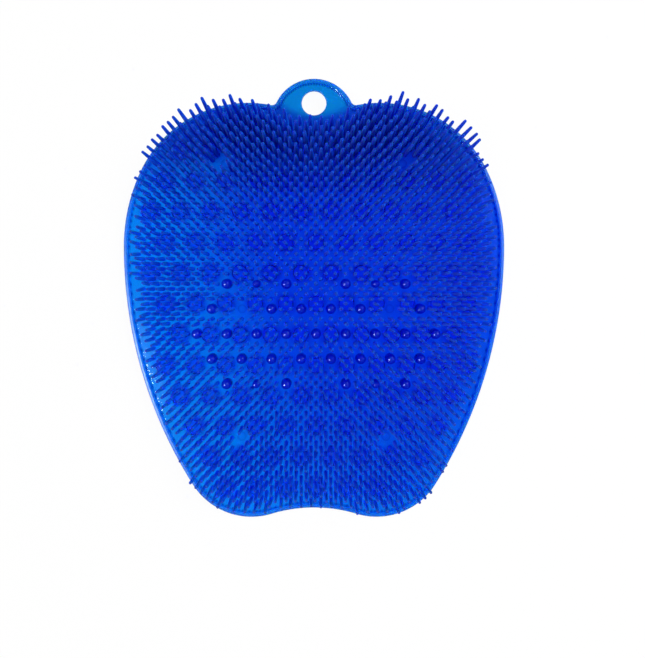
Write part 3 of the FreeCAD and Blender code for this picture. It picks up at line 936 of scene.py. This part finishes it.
@dataclass
class ScrubberMat:
    """The whole mat, one closed moulding."""

    plastic: ClearBluePlastic = field(default_factory=ClearBluePlastic)

    def build(self) -> bpy.types.Object:
        """Build the mat and dress it in its plastic.

        Returns:
            The piece that stands for the frame's node.
        """
        outline = MatOutline()
        sheet = Sheet(outline)
        massage = MassageField(outline, sheet.deck)
        bristles = BristleField(outline, sheet.deck, massage)
        cups = SuctionCups(outline, sheet.underside)
        moulding = Moulding()
        low_border, top_border = sheet.rim(moulding)
        low_hole, top_hole = sheet.bore(moulding)
        kinds = {
            "pegs": massage.pegs(Stand.PEG, massage.peg_radius),
            "small pegs": massage.pegs(Stand.SMALL_PEG, massage.small_peg_radius),
            "marks": massage.marks(),
            "bristles": bristles.studs(),
        }
        roots = []
        for name, studs in kinds.items():
            roots.append(studs.grow(moulding))
            log.info("%s: %d", name, len(studs.places))
        cup_studs = cups.studs()
        cup_roots = cup_studs.grow(moulding)
        log.info("suction cups: %d", len(cup_studs.places))
        sheet.lay_deck(moulding, top_border, [top_hole] + roots, Way.UP)
        sheet.lay_deck(moulding, low_border, [low_hole, cup_roots], Way.DOWN)
        shift = np.array([0.0, -outline.middle, 0.0])
        moulding.points = [block + shift for block in moulding.points]
        piece = moulding.make_piece("mat_moulding")
        piece.data.materials.append(self.plastic.material())
        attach(piece, BODY)
        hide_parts(NODE)
        return piece


@dataclass(frozen=True)
class Lamp:
    """A soft round lamp, in metres and watts, that faces the mat.

    One that is mirrored shows in gloss but gives matt surfaces no light, and the others do the reverse.
    """

    name: str
    place: tuple[float, float, float]
    size: float
    energy: float
    mirrored: bool

    def hang(self) -> None:
        """Hang the lamp in the scene."""
        data = bpy.data.lights.new(self.name, "AREA")
        data.shape = "DISK"
        data.size = self.size
        data.energy = self.energy
        lamp = bpy.data.objects.new(self.name, data)
        lamp.location = self.place
        lamp.visible_glossy = self.mirrored
        lamp.visible_diffuse = not self.mirrored
        lamp.rotation_euler = (-lamp.location).to_track_quat("-Z", "Y").to_euler()
        bpy.context.scene.collection.objects.link(lamp)


@dataclass
class Studio:
    """White floor, light from all round, three lamps and a camera that looks straight down from close by.

    Places and reaches are in metres. A camera shift is in shares of the picture's height. The sky is given as
    pairs of height, from 0 at the horizon to 1 overhead, and grey.
    """

    camera_place: tuple[float, float, float] = (0.0006, 0.0053, 0.268)
    lens: float = 23.47
    sensor: float = 36.0
    shift: Pair = (7.5 / 658, -40 / 658)
    nearest_seen: float = 0.005
    floor_reach: float = 3.0
    floor_grey: float = 0.9
    floor_glow: float = 0.95
    shade: Colour = (0.14, 0.14, 0.82)
    shade_middle: Pair = (0.045, 0.06)
    shade_reach: Pair = (0.17, 0.265)
    shade_edge: Pair = (0.03, 0.6)
    toe_shade: Colour = (0.04, 0.07, 0.45)
    toe_levels: Pair = (0.055, 0.1)
    tab_shade: Colour = (0.66, 0.9, 0.68)
    tab_middle: Pair = (0.001, 0.127)
    tab_reach: Pair = (0.029, 0.017)
    tab_edge: Pair = (0.04, 0.28)
    sky: tuple[Pair, ...] = ((0.0, 1.0), (0.7, 0.3), (1.0, 0.06))
    sky_strength: float = 0.9
    lamps: tuple[Lamp, ...] = (
        Lamp("gloss_lamp", (-1.34, -0.53, 1.92), 0.88, 90.0, True),
        Lamp("left_lamp", (-1.34, -0.53, 1.92), 0.88, 19.0, False),
        Lamp("right_lamp", (1.34, 0.53, 1.6), 1.4, 40.0, False),
    )

    def camera(self) -> None:
        """Place the camera and make it the scene's own."""
        data = bpy.data.cameras.new("overhead_camera")
        data.sensor_fit = "VERTICAL"
        data.sensor_height = self.sensor
        data.lens = self.lens
        data.shift_x, data.shift_y = self.shift
        data.clip_start = self.nearest_seen
        camera = bpy.data.objects.new("overhead_camera", data)
        camera.location = self.camera_place
        bpy.context.scene.collection.objects.link(camera)
        bpy.context.scene.camera = camera

    def under_mat(self, wiring: Wiring) -> bpy.types.NodeSocket:
        """Return the floor's colour: white, but with the mat's painted shadow as seen through the plastic,
        where the mat lies on it.

        The painted shade is the smooth step of how near its middle is, and turns into a darker one by a
        smooth step of the level towards the toe. Round the tab, which the light reaches, it turns into a
        paler one, a painted light.

        Args:
            wiring: Wiring of the floor's material.

        Returns:
            The socket.
        """
        place = wiring.place()
        soft = wiring.ranged(wiring.nearness(place, self.shade_middle, self.shade_reach), self.shade_edge,
                             smooth=True)
        dark_toe = wiring.ranged(wiring.part_of(place, "Y"), self.toe_levels, smooth=True)
        lit_tab = wiring.ranged(wiring.nearness(place, self.tab_middle, self.tab_reach), self.tab_edge)
        under = wiring.blended(wiring.blended(self.shade, self.toe_shade, dark_toe), self.tab_shade, lit_tab)
        covered = wiring.computed("MAXIMUM", soft, dark_toe)
        through = wiring.computed("MULTIPLY", covered, wiring.rays("Is Transmission Ray"))
        return wiring.blended(WHITE, under, through)

    def floor(self) -> None:
        """Lay the floor: plain white that keeps a part of the mat's shadow, and under the mat a painted
        shadow seen through the plastic.
        """
        reach = self.floor_reach
        corners = np.array([(-1, -1, 0), (1, -1, 0), (1, 1, 0), (-1, 1, 0)], dtype=float) * reach
        mesh = bpy.data.meshes.new("studio_floor")
        mesh.from_pydata(corners.tolist(), [], [(0, 1, 2, 3)])
        floor = bpy.data.objects.new("studio_floor", mesh)
        bpy.context.scene.collection.objects.link(floor)
        material = bpy.data.materials.new("studio_white")
        material.use_nodes = True
        material.node_tree.nodes.clear()
        wiring = Wiring(material.node_tree)
        matt = wiring.node("ShaderNodeBsdfDiffuse")
        matt.inputs["Color"].default_value = (self.floor_grey, self.floor_grey, self.floor_grey, 1)
        glow = wiring.node("ShaderNodeEmission")
        wiring.feed(glow.inputs["Color"], self.under_mat(wiring))
        seen_directly = wiring.rays("Is Camera Ray", "Is Glossy Ray", "Is Transmission Ray")
        share = wiring.computed("MULTIPLY", seen_directly, self.floor_glow)
        surface = wiring.mixed_shaders(matt.outputs["BSDF"], glow.outputs["Emission"], share)
        wiring.feed(wiring.node("ShaderNodeOutputMaterial").inputs["Surface"], surface)
        mesh.materials.append(material)

    def world(self) -> None:
        """Light from all round: bright near the horizon and dim overhead, and white to the camera."""
        world = bpy.data.worlds.new("soft_studio")
        bpy.context.scene.world = world
        world.use_nodes = True
        world.node_tree.nodes.clear()
        wiring = Wiring(world.node_tree)
        ramp = wiring.node("ShaderNodeValToRGB")
        ramp.color_ramp.elements.new(self.sky[1][0])
        for element, (height, grey) in zip(ramp.color_ramp.elements, self.sky):
            element.position = height
            element.color = (grey, grey, grey, 1)
        direction = wiring.node("ShaderNodeTexCoord").outputs["Generated"]
        wiring.feed(ramp.inputs["Fac"], wiring.part_of(direction, "Z"))
        around = wiring.node("ShaderNodeBackground")
        around.inputs["Strength"].default_value = self.sky_strength
        wiring.feed(around.inputs["Color"], ramp.outputs["Color"])
        white = wiring.node("ShaderNodeBackground")
        white.inputs["Color"].default_value = (*WHITE, 1.0)
        seen = wiring.rays("Is Camera Ray", "Is Transmission Ray")
        surface = wiring.mixed_shaders(around.outputs["Background"], white.outputs["Background"], seen)
        wiring.feed(wiring.node("ShaderNodeOutputWorld").inputs["Surface"], surface)

    def build(self) -> None:
        """Build the studio and set the plain view."""
        self.floor()
        self.world()
        for lamp in self.lamps:
            lamp.hang()
        self.camera()
        bpy.context.scene.view_settings.view_transform = "Standard"


def main() -> None:
    """Build the mat and the studio, and report each piece."""
    logging.basicConfig(level=logging.INFO, format="%(name)s: %(message)s")
    piece = ScrubberMat().build()
    log.info("piece %s rides on %s", piece.name, BODY)
    Studio().build()


if __name__ == "__main__":
    main()
